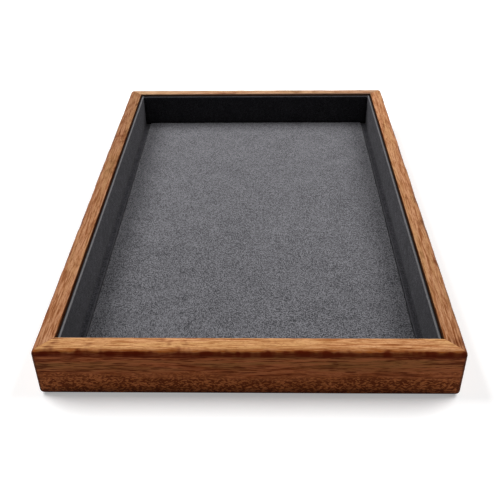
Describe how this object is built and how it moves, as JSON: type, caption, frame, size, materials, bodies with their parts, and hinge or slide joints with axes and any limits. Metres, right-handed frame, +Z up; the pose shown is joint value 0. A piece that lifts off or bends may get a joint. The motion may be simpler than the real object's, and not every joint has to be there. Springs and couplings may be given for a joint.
{
  "type": "dice tray",
  "caption": "Shallow open rectangular tray: a mitred hardwood frame round a suede-lined well, on a plywood base.",
  "frame": {"origin": "middle of the footprint, on the surface the tray stands on", "axes": "+X across the tray to the right, +Y from the front to the back along its longer side, +Z up"},
  "size_m": [0.22, 0.335, 0.031],
  "materials": {
    "frame_wood": "satin",
    "spline_wood": "raw",
    "plywood": "raw",
    "pin_steel": "dull",
    "board": "matte",
    "suede": "napped"
  },
  "bodies": {
    "root": {"front_rail": "frame_wood", "back_rail": "frame_wood", "left_rail": "frame_wood", "right_rail": "frame_wood", "front_left_spline": "spline_wood", "front_right_spline": "spline_wood", "back_left_spline": "spline_wood", "back_right_spline": "spline_wood", "base_panel": "plywood", "base_pins": "pin_steel", "floor_board": "board", "floor_suede": "suede", "front_wall_board": "board", "back_wall_board": "board", "left_wall_board": "board", "right_wall_board": "board", "front_wall_suede": "suede", "back_wall_suede": "suede", "left_wall_suede": "suede", "right_wall_suede": "suede"}
  },
  "joints": []
}
